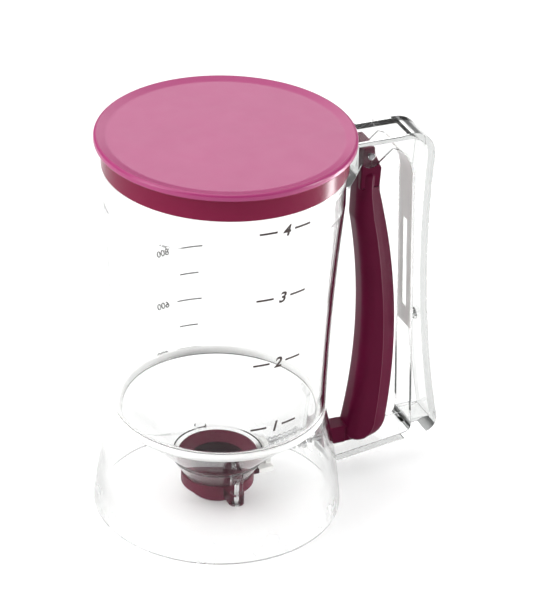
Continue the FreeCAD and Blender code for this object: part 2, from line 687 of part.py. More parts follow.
def make_trigger():
    """Squeeze lever: slim bowed grip cored from behind, narrow head and forked tongue."""
    body = make_body("trigger")
    inner = S["trigger_inner_reach"]
    high = S["trigger_outer_high"]
    prism(body, "lever", "XZ_Plane", [
        (inner + 0.4, S["trigger_neck_height"]), (inner, S["trigger_inner_start"]),
        (inner, S["trigger_toe_height"]), (inner + 2.6, S["trigger_sole"]),
        (S["trigger_sole_reach"], S["trigger_sole"]),
        (S["trigger_outer_low_reach"], S["trigger_outer_low"]),
        (S["trigger_outer_high_reach"], high),
        (S["trigger_outer_high_reach"] - 0.2, high + 4.0),
        (S["trigger_outer_high_reach"] + 0.2, S["trigger_neck_height"]),
    ], S["trigger_width"], {
        1: -S["trigger_inner_bow"], 4: S["trigger_heel_radius"],
        5: S["trigger_outer_bow"],
    })
    half = S["trigger_width"].value / 2.0
    round_edges(body, "side_rounds", lambda edge: lies_at_side(edge, half),
                S["trigger_fillet"])
    bottom = S["trigger_bay_start"]
    deep = S["trigger_wall"] + 1.0
    for bay in range(int(DIMENSIONS["trigger_bays"])):
        top = bottom + S["trigger_bay_height"]
        prism(body, f"bay_{bay + 1}", "XZ_Plane", [
            (trigger_inner(bottom) + deep, bottom), (S["heel_reach"], bottom),
            (S["heel_reach"], top), (trigger_inner(top) + deep, top),
        ], S["trigger_width"] - S["trigger_wall"] * 2.0, cut=True)
        bottom = top + S["trigger_rib"]
    prism(body, "head", "XZ_Plane", [
        (inner + 0.4, S["trigger_neck_height"] - 8.0),
        (S["trigger_outer_high_reach"] - 0.8, S["trigger_neck_height"] - 8.0),
        (S["trigger_outer_high_reach"] - 0.6, S["trigger_neck_height"] + 1.6),
        (S["pivot_reach"] + 2.6, S["pivot_height"]),
        (S["pivot_reach"] + 2.2, S["trigger_head_top"]),
        (S["pivot_reach"] - 2.8, S["trigger_head_top"]),
        (inner + 0.4, S["pivot_height"] - 1.0),
    ], S["trigger_head_width"])
    drill(body, "pivot_bore", "XZ_Plane",
          [(S["pivot_reach"], S["pivot_height"], S["pin_radius"] + S["pin_fit"])],
          S["trigger_width"] * 2.0)
    prism(body, "tongue", "XZ_Plane",
          rectangle(S["tongue_reach"], TONGUE_LOW, inner + 4.0, TONGUE_HIGH),
          S["tongue_half_width"] * 2.0)
    pocket_end = S["tongue_reach"] + S["tongue_end_wall"]
    prism(body, "head_pocket", "XZ_Plane", rectangle(
        pocket_end, TONGUE_LOW - 1.0, inner - 0.6, POCKET_TOP),
        (S["tongue_half_width"] - S["tongue_wall"]) * 2.0, cut=True)
    fork = S["rod_radius"] + 0.5
    prism(body, "fork_slot", "XZ_Plane", rectangle(
        S["tongue_reach"] - 1.0, TONGUE_LOW - 1.0, pocket_end + 0.5,
        S["rod_height"] + S["rod_radius"] + S["head_play"]),
        fork * 2.0, cut=True)


def lies_at_side(edge, half):
    """Whether an edge lies wholly in one of the two side faces."""
    box = edge.BoundBox
    flat = abs(box.YMax - box.YMin) < 1e-6
    return flat and abs(abs(box.YMax) - half) < 1e-6


def round_bar(name, radius, length):
    """A plain cylinder whose radius and length are Sizes."""
    bar = document.addObject("Part::Cylinder", name)
    bind(bar, "Radius", radius)
    bind(bar, "Height", length)
    return bar


def make_pin():
    """Steel pivot pin pressed through both ears."""
    pin = round_bar("trigger_pin", S["pin_radius"], S["handle_width"])
    pin.Label = "trigger_pin"
    place(pin, S["pivot_reach"], S["handle_width"] / 2.0, S["pivot_height"],
          FreeCAD.Vector(1.0, 0.0, 0.0))
    return pin


def place(item, across, deep, up, axis, angle=90.0):
    """Turn an object about an axis and put it where the Sizes say."""
    item.Placement = FreeCAD.Placement(
        FreeCAD.Vector(across.value, deep.value, up.value), FreeCAD.Rotation(axis, angle))
    bind(item, "Placement.Base.x", across)
    bind(item, "Placement.Base.y", deep)
    bind(item, "Placement.Base.z", up)


def make_rod():
    """Steel pull rod with a button head caught in the trigger's forked tongue."""
    start = LUG_OUTER - S["rod_grip_length"] + 0.2
    along = FreeCAD.Vector(0.0, 1.0, 0.0)
    shank = round_bar("rod_shank", S["rod_radius"], HEAD_END - start)
    place(shank, start, ZERO, S["rod_height"], along)
    head = round_bar("rod_head", S["rod_head_radius"], S["rod_head_thickness"])
    place(head, HEAD_START, ZERO, S["rod_height"], along)
    rod = document.addObject("Part::Fuse", "pull_rod")
    rod.Base = shank
    rod.Tool = head
    rod.Refine = True
    rod.Label = "pull_rod"


def make_washer():
    """Flat washer between the spring and the rod bracket."""
    along = FreeCAD.Vector(0.0, 1.0, 0.0)
    start = S["bracket_position"] - S["washer_thickness"]
    disc = round_bar("washer_disc", S["washer_radius"], S["washer_thickness"])
    place(disc, start, ZERO, S["rod_height"], along)
    bore = round_bar("washer_bore", S["rod_radius"] + S["rod_fit"],
                     S["washer_thickness"] * 3.0)
    place(bore, start - S["washer_thickness"], ZERO, S["rod_height"], along)
    washer = document.addObject("Part::Cut", "rod_washer")
    washer.Base = disc
    washer.Tool = bore
    washer.Label = "rod_washer"


def quarter_biarc(start, end, lean_start, lean_end):
    """Two tangent circular arcs from start to end that keep both given directions."""
    chord = end - start
    pull = lean_start + lean_end
    square = 2.0 * (1.0 - lean_start.dot(lean_end))
    across = chord.dot(pull)
    reach = (-across + math.sqrt(across * across + square * chord.dot(chord))) / square
    joint = (start + end + (lean_start - lean_end) * reach) * 0.5
    edges = []
    for origin, target, lean in ((start, joint, lean_start), (end, joint, -lean_end)):
        line = target - origin
        normal = (line - lean * line.dot(lean))
        radius = line.dot(line) / (2.0 * normal.Length)
        normal.normalize()
        centre = origin + normal * radius
        half = (origin + target) * 0.5 - centre
        middle = centre + half.normalize() * radius
        ends = (origin, middle, target) if origin is start else (target, middle, origin)
        edges.append(Part.Arc(*ends).toShape())
    return edges


def make_spring():
    """Return spring: one unbroken wire helix round the rod, from quarter-turn biarcs."""
    radius = S["spring_radius"].value
    wire_radius = S["spring_wire_radius"].value
    turns = int(S["spring_turns"].value)
    low = LUG_OUTER.value + S["spring_seat_gap"].value + wire_radius
    high = (S["bracket_position"] - S["washer_thickness"]).value
    high -= S["spring_seat_gap"].value + wire_radius
    pitch = (high - low) / turns
    level = S["rod_height"].value

    def point(turn):
        angle = 2.0 * math.pi * turn
        return FreeCAD.Vector(low + pitch * turn, radius * math.cos(angle),
                              level + radius * math.sin(angle))

    def heading(turn):
        angle = 2.0 * math.pi * turn
        along = FreeCAD.Vector(pitch / (2.0 * math.pi), -radius * math.sin(angle),
                               radius * math.cos(angle))
        return along.normalize()

    quarters = 4 * turns
    edges = []
    for quarter in range(quarters):
        here = quarter / 4.0
        there = (quarter + 1) / 4.0
        edges += quarter_biarc(point(here), point(there), heading(here), heading(there))
    path = Part.Wire(edges)
    profile = Part.Wire(Part.Circle(point(0.0), heading(0.0), wire_radius).toShape())
    coil = path.makePipeShell([profile], True, False)
    spring = document.addObject("Part::Feature", "return_spring")
    spring.Shape = coil if isinstance(coil, Part.Solid) else Part.Solid(coil)
    spring.Label = "return_spring"
    spring.Placement = FreeCAD.Placement()
    gap = pitch * radius / math.hypot(radius, pitch / (2.0 * math.pi)) - 2.0 * wire_radius
    print(f"return_spring: pitch {pitch:.2f}, least gap to itself {gap:.2f} mm")
    document.recompute()


NODES = ("lid", "container", "base_skirt", "handle", "grip_liner", "liner_screw", "trigger",
         "trigger_pin", "pull_rod", "rod_washer", "return_spring", "gate", "valve_seat",
         "gate_guide", "nozzle", "guide_screws")


def check_document():
    """Stop if any object failed or any sub-part has no valid shape."""
    for item in document.Objects:
        troubles = [state for state in item.State if state in ("Invalid", "Error")]
        if troubles:
            raise ValueError(f"{item.Name} is {troubles}")
    for name in NODES:
        shape = document.getObject(name).Shape
        if shape.isNull() or not shape.isValid():
            raise ValueError(f"{name} has no valid shape")


def write_steps():
    """Write one file for each sub-part and print its size."""
    os.makedirs("parts", exist_ok=True)
    for name in NODES:
        shape = document.getObject(name).Shape
        shape.exportStep(os.path.join("parts", name + ".step"))
        box = shape.optimalBoundingBox(False)
        print(f"{name}: {len(shape.Solids)} solid(s), {shape.Volume:.0f} mm3, "
              f"x {box.XMin:.1f}..{box.XMax:.1f} y {box.YMin:.1f}..{box.YMax:.1f} "
              f"z {box.ZMin:.1f}..{box.ZMax:.1f}")


make_lid()
make_container()
make_skirt()
make_seat()
make_gate()
make_guide()
make_nozzle()
make_guide_screws()
make_handle()
make_liner()
make_liner_screw()
make_trigger()
make_pin()
make_rod()
make_washer()
make_spring()
document.recompute()
check_document()
write_steps()
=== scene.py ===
import math

import bmesh
import bpy
import numpy as np
from mathutils import Matrix, Vector


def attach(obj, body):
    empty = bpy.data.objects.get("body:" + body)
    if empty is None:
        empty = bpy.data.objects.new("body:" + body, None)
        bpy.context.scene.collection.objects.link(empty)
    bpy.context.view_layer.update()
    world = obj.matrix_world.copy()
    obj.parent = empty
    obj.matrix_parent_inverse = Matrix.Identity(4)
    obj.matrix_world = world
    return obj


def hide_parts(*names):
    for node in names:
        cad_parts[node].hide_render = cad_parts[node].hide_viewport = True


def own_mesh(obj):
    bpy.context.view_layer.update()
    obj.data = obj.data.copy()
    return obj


# Pancake batter dispenser: clear jug, flared foot and channel handle, rose push-on lid,
# wine-red squeeze trigger and valve, steel pull rod with its return spring.
# Profiles are in millimetres as (reach from the jug's axis, height); the handle is at +X.

MM = 0.001
WAIST_HEIGHT = 48.0
WAIST_REACH = 46.5
SHOULDER_START = 150.0
SHOULDER_REACH = 51.0
JUG_BOW = 1600.0
FOOT_BOW = 340.0
FOOT_INNER = (44.35, 52.2)
FOOT_OUTER = (46.45, 54.45)
HAZE_START, HAZE_FULL = 36.0, 10.0
WINDOW_LOW, WINDOW_HIGH = 15.8, 26.6
SCREW_ASIDE = 21.5
ROD_HEIGHT = 20.5
PIVOT = (63.5, 161.6)
SLOT_LOW, SLOT_HIGH = 80.0, 124.0
PRINT_LIFT, PRINT_THICKNESS = 0.09, 0.06
TURN_STEPS = 224
PIN_STEPS = 64
ROUND_STEPS = 7
SAME_POINT = 2e-6

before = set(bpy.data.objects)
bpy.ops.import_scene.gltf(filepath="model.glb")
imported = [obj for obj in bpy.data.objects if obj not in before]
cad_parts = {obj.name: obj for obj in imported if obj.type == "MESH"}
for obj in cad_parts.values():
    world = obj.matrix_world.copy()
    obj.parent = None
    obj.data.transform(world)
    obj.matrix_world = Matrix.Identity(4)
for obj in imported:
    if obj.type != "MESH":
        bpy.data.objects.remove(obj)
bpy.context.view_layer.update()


# ---------------------------------------------------------------- shapes as arrays

def softened(corners, radii, steps=ROUND_STEPS):
    """Polygons with rounded corners.

    Each corner P gives way to the circular arc that touches both its edges at the distance
    radius / tan(half the corner's angle). The arc is the rational curve
    ((1-s)^2 A + 2 s (1-s) w P + s^2 B) / ((1-s)^2 + 2 s (1-s) w + s^2), w = sin(half angle).
    corners is (..., corner, 2); the result is (..., corner * steps, 2)."""
    corners = np.asarray(corners, float)
    radii = np.broadcast_to(np.asarray(radii, float), corners.shape[:-1])[..., None]
    back = np.roll(corners, 1, axis=-2) - corners
    ahead = np.roll(corners, -1, axis=-2) - corners
    back /= np.linalg.norm(back, axis=-1, keepdims=True)
    ahead /= np.linalg.norm(ahead, axis=-1, keepdims=True)
    cosine = np.clip((back * ahead).sum(-1, keepdims=True), -0.99999, 0.99999)
    half = np.arccos(cosine) / 2.0
    reach = radii / np.tan(half)
    start, end = corners + back * reach, corners + ahead * reach
    share = np.linspace(0.0, 1.0, steps)[:, None]
    weight = np.sin(half)[..., None, :]
    low, mid, high = (1 - share) ** 2, 2 * share * (1 - share) * weight, share ** 2
    arc = (low * start[..., None, :] + mid * corners[..., None, :]
           + high * end[..., None, :]) / (low + mid + high)
    return arc.reshape(*corners.shape[:-2], -1, 2)


def distinct(loop, least=1e-4):
    """The closed loop without points that repeat the one before them."""
    step = np.linalg.norm(loop - np.roll(loop, 1, axis=0), axis=1)
    return loop[step > least]


def spread(loop, step):
    """The closed loop with extra points on its long edges, none longer than step: point i
    plus k/n of the way to the next one, for k from 0 to n-1."""
    edge = np.roll(loop, -1, axis=0) - loop
    count = np.maximum(1, np.ceil(np.linalg.norm(edge, axis=1) / step).astype(int))
    index = np.repeat(np.arange(len(loop)), count)
    first = np.concatenate([[0], np.cumsum(count)[:-1]])
    share = (np.arange(count.sum()) - first[index]) / count[index]
    return loop[index] + edge[index] * share[:, None]


def bowed(profile, low, high, radius):
    """Adds r += (z-low)(high-z) / (2 radius) between two heights: a shallow arc."""
    inside = np.clip(profile[:, 1], low, high)
    return profile + np.stack([(inside - low) * (high - inside) / (2.0 * radius),
                               0.0 * inside], axis=1)


def loop_quads(rows, columns):
    """Quads of a grid that closes on itself both ways, vertex = row * columns + column."""
    row, column = np.meshgrid(np.arange(rows), np.arange(columns), indexing="ij")
    below, right = (row + 1) % rows, (column + 1) % columns
    return np.stack([row * columns + column, row * columns + right,
                     below * columns + right, below * columns + column], axis=-1)


def turned(profile, angles=None):
    """Closed profile turned about Z: x = r cos(a), y = r sin(a), z = z."""
    if angles is None:
        angles = np.linspace(0.0, 2.0 * math.pi, TURN_STEPS, endpoint=False)
    reach, height = profile[:, :1], profile[:, 1:]
    points = np.stack([reach * np.cos(angles), reach * np.sin(angles),
                       height + 0.0 * angles], axis=-1).reshape(-1, 3)
    return points, loop_quads(len(profile), len(angles))


def turned_solid(profile, axis="z"):
    """A profile from pole to pole, turned about its axis, with both poles closed by fans."""
    profile = np.asarray(profile, float)
    angles = np.linspace(0.0, 2.0 * math.pi, PIN_STEPS if axis == "x" else TURN_STEPS,
                         endpoint=False)
    ring = profile[1:-1]
    reach, height = ring[:, :1], ring[:, 1:]
    points = np.stack([reach * np.cos(angles), reach * np.sin(angles),
                       height + 0.0 * angles], axis=-1).reshape(-1, 3)
    columns, last = len(angles), len(ring) - 1
    quads = loop_quads(len(ring), columns)[:-1].reshape(-1, 4).tolist()
    here = np.arange(columns)
    after = (here + 1) % columns
    top, bottom = len(points), len(points) + 1
    points = np.vstack([points, [[0, 0, profile[0, 1]], [0, 0, profile[-1, 1]]]])
    fans = np.stack([here * 0 + top, after, here], axis=1).tolist()
    fans += np.stack([here * 0 + bottom, last * columns + here,
                      last * columns + after], axis=1).tolist()
    if axis == "x":
        points = points[:, [2, 0, 1]]
    return points, quads + fans


def slab(outline, half, edge=0.6, steps=5):
    """An (x, z) outline made a plate from y = -half to half with rounded rims: towards each
    rim the outline moves inwards by edge (1 - cos t) while y moves on by edge sin t."""
    ahead = np.roll(outline, -1, axis=0) - np.roll(outline, 1, axis=0)
    ahead /= np.linalg.norm(ahead, axis=1, keepdims=True)
    inward = np.stack([-ahead[:, 1], ahead[:, 0]], axis=1)
    area = (outline[:, 0] * np.roll(outline[:, 1], -1)
            - np.roll(outline[:, 0], -1) * outline[:, 1]).sum()
    inward *= 1.0 if area > 0 else -1.0
    turn = np.linspace(0.0, math.pi / 2.0, steps)
    inset = np.concatenate([edge * (1 - np.cos(turn[::-1])), edge * (1 - np.cos(turn))])
    level = half - edge + edge * np.sin(turn)
    level = np.concatenate([-level[::-1], level])
    layers = outline[None] + inward[None] * inset[:, None, None]
    points = np.stack([layers[..., 0], level[:, None] + 0.0 * layers[..., 0],
                       layers[..., 1]], axis=-1)
    count = len(outline)
    faces = loop_quads(len(level), count)[:-1].reshape(-1, 4).tolist()
    faces.append(np.arange(count)[::-1].tolist())
    faces.append((np.arange(count) + (len(level) - 1) * count).tolist())
    return points.reshape(-1, 3), faces


def tube(path, radius, sides=14):
    """A round wire along a path: at each point a circle across the path's direction, its
    first spoke square to that direction and to the reference axis."""
    lean = np.gradient(path, axis=0)
    lean /= np.linalg.norm(lean, axis=1, keepdims=True)
    spoke = np.cross(lean, [1.0, 0.0, 0.0])
    spoke /= np.linalg.norm(spoke, axis=1, keepdims=True)
    other = np.cross(lean, spoke)
    turn = np.linspace(0.0, 2.0 * math.pi, sides, endpoint=False)[None, :, None]
    points = path[:, None] + radius * (np.cos(turn) * spoke[:, None]
                                       + np.sin(turn) * other[:, None])
    faces = loop_quads(len(path), sides)[:-1].reshape(-1, 4).tolist()
    faces.append(np.arange(sides)[::-1].tolist())
    faces.append((np.arange(sides) + (len(path) - 1) * sides).tolist())
    return points.reshape(-1, 3), faces


def blocks(low, high):
    """A plain box's eight corners and six faces, for small flat parts."""
    low, high = np.asarray(low, float), np.asarray(high, float)
    bits = np.array([[i, j, k] for i in (0, 1) for j in (0, 1) for k in (0, 1)])
    faces = [[0, 1, 3, 2], [4, 6, 7, 5], [0, 4, 5, 1], [2, 3, 7, 6], [0, 2, 6, 4],
             [1, 5, 7, 3]]
    return low + bits * (high - low), faces


# ---------------------------------------------------------------- pieces

def dress(piece, body, material, stands_for=()):
    """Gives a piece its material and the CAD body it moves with."""
    piece.data.materials.clear()
    piece.data.materials.append(material)
    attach(piece, body)
    if stands_for:
        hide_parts(*stands_for)
    return piece


def two_materials(piece, second, where):
    """Gives a second material to the faces whose centre and normal pass the test."""
    centre, normal = np.empty((2, len(piece.data.polygons) * 3))
    piece.data.polygons.foreach_get("center", centre)
    piece.data.polygons.foreach_get("normal", normal)
    chosen = where(centre.reshape(-1, 3), normal.reshape(-1, 3))
    piece.data.materials.append(second)
    piece.data.polygons.foreach_set("material_index", chosen.astype(np.int32))


def make_piece(name, points, faces, crease=38.0, bevel=0.0):
    """A mesh object from millimetre points; edges sharper than crease stay crisp."""
    faces = faces.reshape(-1, 4).tolist() if isinstance(faces, np.ndarray) else faces
    mesh = bpy.data.meshes.new(name)
    mesh.from_pydata((np.asarray(points) * MM).tolist(), [], faces)
    return finish_mesh(name, mesh, crease, bevel)


def finish_mesh(name, mesh, crease, bevel):
    """Merges doubles, turns the faces outwards, shades smooth and adds the edge rounding."""
    work = bmesh.new()
    work.from_mesh(mesh)
    bmesh.ops.remove_doubles(work, verts=work.verts, dist=SAME_POINT)
    bmesh.ops.recalc_face_normals(work, faces=work.faces)
    work.to_mesh(mesh)
    work.free()
    mesh.shade_smooth()
    mesh.set_sharp_from_angle(angle=math.radians(crease))
    piece = bpy.data.objects.new(name, mesh)
    bpy.context.collection.objects.link(piece)
    if bevel:
        rounding = piece.modifiers.new("edge_rounding", "BEVEL")
        rounding.width = bevel * MM
        rounding.segments = 3
        rounding.limit_method = "ANGLE"
        rounding.angle_limit = math.radians(crease)
        rounding.use_clamp_overlap = True
    weigh = piece.modifiers.new("face_weight", "WEIGHTED_NORMAL")
    weigh.keep_sharp = True
    return piece


def finished_copy(node, name, bevel, crease=32.0, keep=None, split=None):
    """A CAD node's mesh with its doubles merged, its flat triangles joined into whole faces
    and its edges rounded by a bevel. keep = (reach, height) cuts away what lies beyond, and
    split divides the faces at a reach, so that each side can have its own material."""
    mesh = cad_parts[node].data.copy()
    work = bmesh.new()
    work.from_mesh(mesh)
    bmesh.ops.remove_doubles(work, verts=work.verts, dist=SAME_POINT)
    if keep:
        for spot, normal in (((keep[0] * MM, 0, 0), (1, 0, 0)),
                             ((0, 0, keep[1] * MM), (0, 0, 1))):
            cut = bmesh.ops.bisect_plane(
                work, geom=work.verts[:] + work.edges[:] + work.faces[:], plane_co=spot,
                plane_no=normal, clear_outer=True)
            rim = [item for item in cut["geom_cut"] if isinstance(item, bmesh.types.BMEdge)]
            if rim:
                bmesh.ops.holes_fill(work, edges=rim, sides=0)
    bmesh.ops.dissolve_limit(work, angle_limit=math.radians(0.25), verts=work.verts,
                             edges=work.edges, use_dissolve_boundaries=False)
    if split:
        bmesh.ops.bisect_plane(work, geom=work.verts[:] + work.edges[:] + work.faces[:],
                               plane_co=(split * MM, 0, 0), plane_no=(1, 0, 0))
    work.to_mesh(mesh)
    work.free()
    mesh.materials.clear()
    return finish_mesh(name, mesh, crease, bevel)


# ---------------------------------------------------------------- materials

def shader(name):
    """A new node material and its Principled shader."""
    material = bpy.data.materials.new(name)
    material.use_nodes = True
    return material, material.node_tree, material.node_tree.nodes["Principled BSDF"]


def grain(tree, scale, detail=3.0, stretch=(1.0, 1.0, 1.0)):
    """Noise on Object coordinates, its cells per metre set by scale and stretched by axis."""
    place = tree.nodes.new("ShaderNodeTexCoord")
    mapping = tree.nodes.new("ShaderNodeMapping")
    mapping.inputs["Scale"].default_value = stretch
    noise = tree.nodes.new("ShaderNodeTexNoise")
    noise.inputs["Scale"].default_value = scale
    noise.inputs["Detail"].default_value = detail
    tree.links.new(place.outputs["Object"], mapping.inputs["Vector"])
    tree.links.new(mapping.outputs["Vector"], noise.inputs["Vector"])
    return noise.outputs["Fac"]


def ranged(tree, value, low, high, start=0.3, end=0.7, smooth=False):
    """A value that runs from start to end, spread over low to high and held at the ends.
    Noise runs from about 0.3 to 0.7."""
    spread_out = tree.nodes.new("ShaderNodeMapRange")
    spread_out.interpolation_type = "SMOOTHSTEP" if smooth else "LINEAR"
    spread_out.inputs["From Min"].default_value = start
    spread_out.inputs["From Max"].default_value = end
    spread_out.inputs["To Min"].default_value = low
    spread_out.inputs["To Max"].default_value = high
    tree.links.new(value, spread_out.inputs["Value"])
    return spread_out.outputs["Result"]


def bump(tree, principled, value, strength, distance):
    """Fine relief from a noise value."""
    relief = tree.nodes.new("ShaderNodeBump")
    relief.inputs["Strength"].default_value = strength
    relief.inputs["Distance"].default_value = distance
    tree.links.new(value, relief.inputs["Height"])
    tree.links.new(relief.outputs["Normal"], principled.inputs["Normal"])


def two_tone(tree, principled, value, dark, light):
    """Base colour between two tones by a 0-1 value."""
    mix = tree.nodes.new("ShaderNodeMix")
    mix.data_type = "RGBA"
    mix.inputs["A"].default_value = (*dark, 1.0)
    mix.inputs["B"].default_value = (*light, 1.0)
    tree.links.new(value, mix.inputs["Factor"])
    tree.links.new(mix.outputs["Result"], principled.inputs["Base Color"])


def tinted_plastic(name, dark, light, rough, spread_rough, relief=0.05, fine=2600.0,
                   shine=0.5):
    """Moulded coloured plastic: cloudy tone, uneven gloss and a fine tool texture."""
    material, tree, principled = shader(name)
    cloud, polish = grain(tree, 45.0), grain(tree, 160.0)
    two_tone(tree, principled, ranged(tree, cloud, 0.0, 1.0), dark, light)
    tree.links.new(ranged(tree, polish, rough, rough + spread_rough),
                   principled.inputs["Roughness"])
    bump(tree, principled, grain(tree, fine, 2.0), relief, 0.00012)
    principled.inputs["IOR"].default_value = 1.5
    principled.inputs["Specular IOR Level"].default_value = shine
    return material


def see_through_shadow(tree, principled):
    """Light reaches what is inside: for shadow rays the shader gives way to Transparent,
    a little dimmer at each face."""
    output = tree.nodes["Material Output"]
    path = tree.nodes.new("ShaderNodeLightPath")
    glassy = tree.nodes.new("ShaderNodeMixShader")
    open_way = tree.nodes.new("ShaderNodeBsdfTransparent")
    open_way.inputs["Color"].default_value = (0.86, 0.86, 0.86, 1.0)
    tree.links.new(path.outputs["Is Shadow Ray"], glassy.inputs["Fac"])
    tree.links.new(principled.outputs["BSDF"], glassy.inputs[1])
    tree.links.new(open_way.outputs["BSDF"], glassy.inputs[2])
    tree.links.new(glassy.outputs["Shader"], output.inputs["Surface"])


def clear_plastic(name, tint, rough, spread_rough, flow=0.06, foot_rough=0.0,
                  density=30.0, bend=1.49):
    """Clear moulded plastic: refracting, with faint flow waves and uneven polish. Down
    the foot, from HAZE_START to HAZE_FULL, it turns hazier by foot_rough. Long ways through
    the plastic look greyer."""
    material, tree, principled = shader(name)
    principled.inputs["Base Color"].default_value = (*tint, 1.0)
    principled.inputs["Transmission Weight"].default_value = 1.0
    principled.inputs["IOR"].default_value = bend
    principled.inputs["Specular Tint"].default_value = (0.30, 0.30, 0.30, 1.0)
    polish = ranged(tree, grain(tree, 90.0), rough, rough + spread_rough)
    if foot_rough:
        place = tree.nodes.new("ShaderNodeTexCoord")
        split = tree.nodes.new("ShaderNodeSeparateXYZ")
        tree.links.new(place.outputs["Object"], split.inputs[0])
        haze = ranged(tree, split.outputs["Z"], 0.0, foot_rough, HAZE_START * MM,
                      HAZE_FULL * MM, smooth=True)
        total = tree.nodes.new("ShaderNodeMath")
        tree.links.new(polish, total.inputs[0])
        tree.links.new(haze, total.inputs[1])
        polish = total.outputs["Value"]
    tree.links.new(polish, principled.inputs["Roughness"])
    bump(tree, principled, grain(tree, 38.0, 1.0, (1.0, 1.0, 0.5)), flow, 0.0006)
    see_through_shadow(tree, principled)
    murk = tree.nodes.new("ShaderNodeVolumeAbsorption")
    murk.inputs["Color"].default_value = (0.50, 0.515, 0.505, 1.0)
    murk.inputs["Density"].default_value = density
    tree.links.new(murk.outputs["Volume"], tree.nodes["Material Output"].inputs["Volume"])
    return material


def bright_steel(name, stretch, dark=0.46, light=0.74):
    """Drawn steel wire or bar: fine lines along the stretch axis and a few dull spots."""
    material, tree, principled = shader(name)
    lines = grain(tree, 900.0, 4.0, stretch)
    two_tone(tree, principled, ranged(tree, lines, 0.0, 1.0), (dark, dark, dark + 0.01),
             (light, light, light + 0.01))
    principled.inputs["Metallic"].default_value = 1.0
    tree.links.new(ranged(tree, lines, 0.16, 0.34), principled.inputs["Roughness"])
    bump(tree, principled, lines, 0.08, 0.00005)
    return material


# One rose-wine lid plastic in two copies: a lighter one for the lid's top, painted light from
# above, and a darker one for its band, painted shade.
LID_TOP_PAINTED_LIGHT = tinted_plastic("rose_satin_lid_top_painted_light", (0.345, 0.027, 0.142), (0.365, 0.031, 0.152),
                         0.30, 0.04, 0.02, 3200.0)
LID_BAND_PAINTED_SHADE = tinted_plastic("wine_gloss_lid_band_painted_shade", (0.175, 0.004, 0.036),
                          (0.195, 0.006, 0.042), 0.20, 0.03, 0.006, shine=0.14)
TRIGGER_RED = tinted_plastic("wine_gloss_trigger", (0.072, 0.0022, 0.0190),
                             (0.080, 0.0028, 0.0215), 0.30, 0.03, 0.002, shine=0.05)
VALVE_RED = tinted_plastic("wine_soft_valve", (0.088, 0.0055, 0.0210), (0.104, 0.0080, 0.0270),
                           0.40, 0.10, 0.05, shine=0.12)
JUG_CLEAR = clear_plastic("clear_jug_plastic", (0.99, 0.992, 0.99), 0.0, 0.02, 0.05, 0.26,
                          density=20.0)
HANDLE_CLEAR = clear_plastic("clear_handle_plastic", (0.975, 0.978, 0.975), 0.0, 0.03, 0.08,
                             density=48.0)
WELD_WHITE = tinted_plastic("milky_weld_plastic", (0.93, 0.93, 0.92), (0.97, 0.97, 0.96),
                            0.70, 0.1, 0.02)
LINK_CLEAR = clear_plastic("clear_web_plastic", (0.99, 0.992, 0.99), 0.0, 0.02, 0.02,
                           density=6.0, bend=1.12)
# Near-black wine for the valve's throat and the gate below it: painted shade of the deep hole,
# darker than the valve's own wine.
THROAT_PAINTED_SHADE = tinted_plastic("deep_wine_throat_painted_shade", (0.016, 0.0010, 0.0040),
                             (0.026, 0.0018, 0.0070), 0.45, 0.1, 0.02, shine=0.04)
# Grey for the gate's lug, and for the grip strip, where the grey is painted shade of the
# handle's channel floor.
LUG_GREY_AND_LINER_PAINTED_SHADE = tinted_plastic("grey_satin_lug_and_liner_painted_shade", (0.74, 0.74, 0.72), (0.80, 0.80, 0.78),
                            0.34, 0.08, 0.05)
STEEL = bright_steel("bright_drawn_steel", (0.05, 1.0, 1.0))
STEEL_DULL = bright_steel("dull_pin_steel", (1.0, 0.05, 1.0), 0.16, 0.26)
STEEL_UPRIGHT = bright_steel("bright_drawn_screw_steel", (1.0, 1.0, 0.05))
PRINT_DARK = tinted_plastic("umber_scale_print", (0.022, 0.010, 0.009),
                            (0.045, 0.024, 0.020), 0.45, 0.15, 0.2, 1500.0)
PRINT_GREY = tinted_plastic("grey_scale_print", (0.17, 0.17, 0.165), (0.24, 0.24, 0.23),
                            0.50, 0.15, 0.2, 1500.0)


# ---------------------------------------------------------------- lid

def make_lid():
    """Push-on lid turned from one profile: satin dished top, rounded overhanging edge,
    glossy band outside the neck and a plug ring inside it. The top has a lighter copy of the
    lid's colour, painted light from above, and the rest a darker one, painted shade. The top
    rises to its middle by z += crown_rise (1 - (r / crown_reach)^2)."""
    edge, crown_reach, crown_rise = 55.0, 48.0, 0.30
    outer = softened([(0.01, 178.95), (49.8, 178.95), (53.7, 179.95), (edge, 179.95),
                      (edge, 176.6), (51.9, 176.6), (51.9, 166.1), (49.75, 166.1),
                      (49.75, 176.65), (47.0, 176.65), (47.0, 169.6), (45.2, 169.6),
                      (45.2, 176.8), (0.01, 176.8)],
                     [0, 6.0, 1.0, 1.25, 0.9, 0.5, 0.5, 0.5, 0.3, 0.4, 0.6, 0.6, 1.0, 0])
    profile = spread(distinct(outer), 3.0)
    # the profile starts at its pole on the top, where r is almost nothing
    start = int(np.argmax(profile[:, 1] * (profile[:, 0] < 0.02) - profile[:, 0] * 1000))
    profile = np.roll(profile, -start, axis=0)
    profile[0, 0] = profile[-1, 0] = 0.0
    reach = profile[:, 0]
    crown = (profile[:, 1] > 178.0) & (reach < crown_reach)
    profile[crown, 1] += crown_rise * (1.0 - (reach[crown] / crown_reach) ** 2)
    points, faces = turned_solid(profile)
    lid = make_piece("lid_cap", points, faces, crease=60.0)
    # The band, edge and plug ring take the darker copy of the lid's colour, painted shade; the
    # top's upward faces take the lighter copy, painted light from above.
    dress(lid, "lid", LID_BAND_PAINTED_SHADE, ["lid"])
    two_materials(lid, LID_TOP_PAINTED_LIGHT, lambda centre, normal: (
        (centre[:, 2] > 177.2 * MM) & (normal[:, 2] > -0.5)))


# ---------------------------------------------------------------- jug and foot

